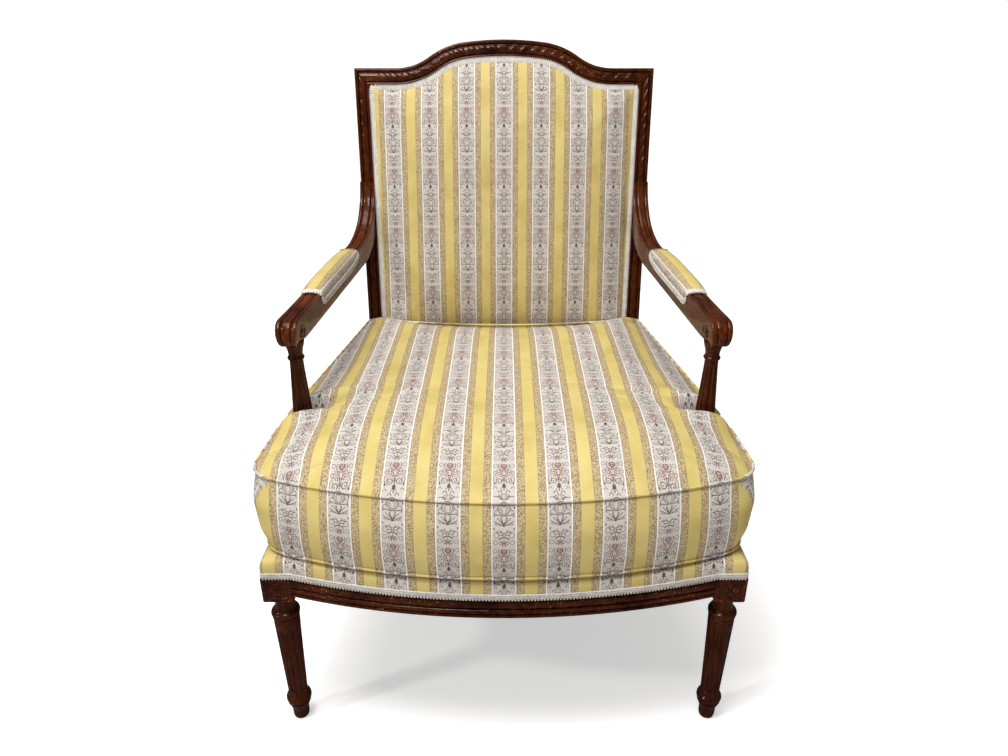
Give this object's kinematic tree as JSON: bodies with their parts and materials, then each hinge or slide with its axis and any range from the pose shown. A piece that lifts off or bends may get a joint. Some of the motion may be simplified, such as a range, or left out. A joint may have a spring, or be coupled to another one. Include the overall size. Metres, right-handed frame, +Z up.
{
  "type": "armchair",
  "caption": "Open armchair in carved dark wood with a serpentine crest, raked stuffed back, padded scroll arms on fluted supports and a loose box cushion in striped fabric.",
  "frame": {"origin": "middle of the bounding box, at floor level", "axes": "+X to the viewer's right when seen from the front, +Y from the front to the back, +Z up"},
  "size_m": [0.6866, 0.8248, 0.9377],
  "materials": {
    "polished_wood": "glossy dark red-brown varnish",
    "plain_wood": "unpolished hardwood",
    "screw_steel": "dull",
    "striped_fabric": "woven silk stripes with small ornament",
    "braid": "off-white woven gimp",
    "jute": "natural jute",
    "felt": "cotton felt",
    "black_cotton": "matt"
  },
  "bodies": {
    "frame": {"back_stile_right": "polished_wood", "back_stile_left": "polished_wood", "crest_rail": "polished_wood", "back_lower_rail": "polished_wood", "front_leg_right": "polished_wood", "front_leg_left": "polished_wood", "front_seat_rail": "polished_wood", "side_seat_rail_right": "polished_wood", "side_seat_rail_left": "polished_wood", "arm_support_right": "polished_wood", "arm_support_left": "polished_wood", "arm_right": "polished_wood", "arm_left": "polished_wood", "rear_seat_rail": "plain_wood", "front_corner_brace_right": "plain_wood", "front_corner_brace_left": "plain_wood", "rear_corner_brace_right": "plain_wood", "rear_corner_brace_left": "plain_wood", "frame_pegs": "plain_wood", "arm_screws": "screw_steel", "platform_cover": "striped_fabric", "back_pad": "striped_fabric", "outside_back_panel": "striped_fabric", "arm_pad_right": "striped_fabric", "arm_pad_left": "striped_fabric", "seat_gimp": "braid", "back_gimp": "braid", "outside_back_gimp": "braid", "arm_gimp_right": "braid", "arm_gimp_left": "braid", "seat_webbing": "jute", "back_webbing": "jute", "seat_hessian": "jute", "back_hessian": "jute", "platform_pad": "felt", "dust_cover": "black_cotton"},
    "cushion": {"cushion_body": "striped_fabric", "cushion_welt_bottom": "striped_fabric", "cushion_welt_top": "striped_fabric"}
  },
  "joints": [
    {"name": "cushion_lift", "type": "slide", "parent": "frame", "child": "cushion", "axis": [0, 0, 1], "range_m": [0, 0.08]}
  ]
}
